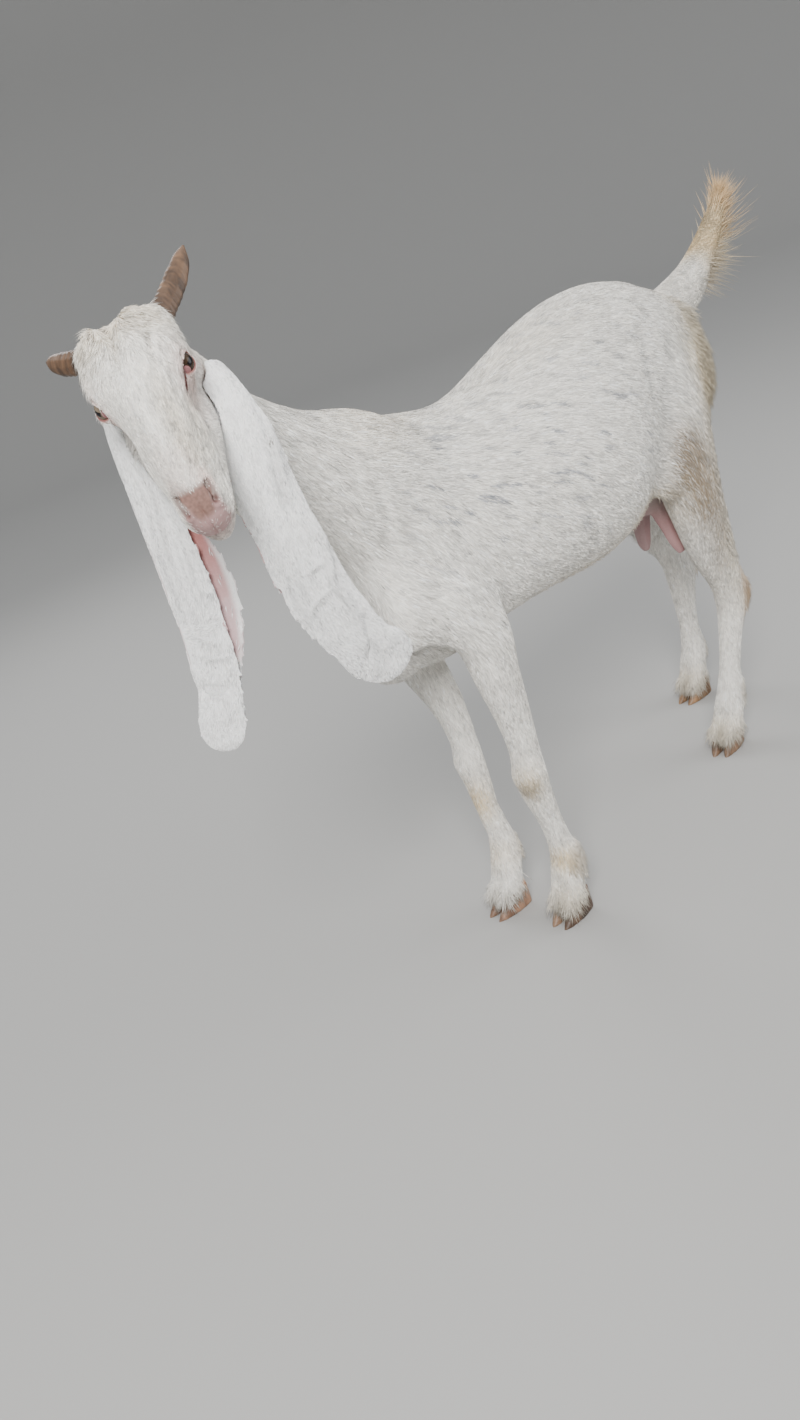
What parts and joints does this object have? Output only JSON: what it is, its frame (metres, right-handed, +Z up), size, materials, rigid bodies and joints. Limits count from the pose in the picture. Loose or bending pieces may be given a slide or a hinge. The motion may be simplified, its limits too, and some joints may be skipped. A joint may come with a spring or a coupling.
{
  "type": "goat",
  "caption": "Standing white doe with long folded hanging ears, a convex nose, short flat horns, cloven hooves and a raised tail, her head turned to her left.",
  "frame": {"origin": "on the floor, under the middle of the bounding box", "axes": "+Z up; she faces -X; her left side is towards -Y"},
  "size_m": [1.3306, 0.3606, 1.054],
  "materials": {
    "coat": "short dense white hair",
    "tail_hair": "longer cream hair, tan at the tip",
    "horn": "streaked brown horn",
    "claw": "tan horn, worn",
    "eye": "wet",
    "udder_skin": "thin pink skin"
  },
  "bodies": {
    "root": {"claw_front_left_left": "claw", "claw_front_left_right": "claw", "claw_front_right_left": "claw", "claw_front_right_right": "claw", "claw_rear_left_left": "claw", "claw_rear_left_right": "claw", "claw_rear_right_left": "claw", "claw_rear_right_right": "claw", "ear_left": "coat", "ear_right": "coat", "eye_left": "eye", "eye_right": "eye", "head": "coat", "horn_left": "horn", "horn_right": "horn", "leg_front_left": "coat", "leg_front_right": "coat", "leg_rear_left": "coat", "leg_rear_right": "coat", "neck": "coat", "tail": "tail_hair", "torso": "coat", "udder": "udder_skin"}
  },
  "joints": []
}
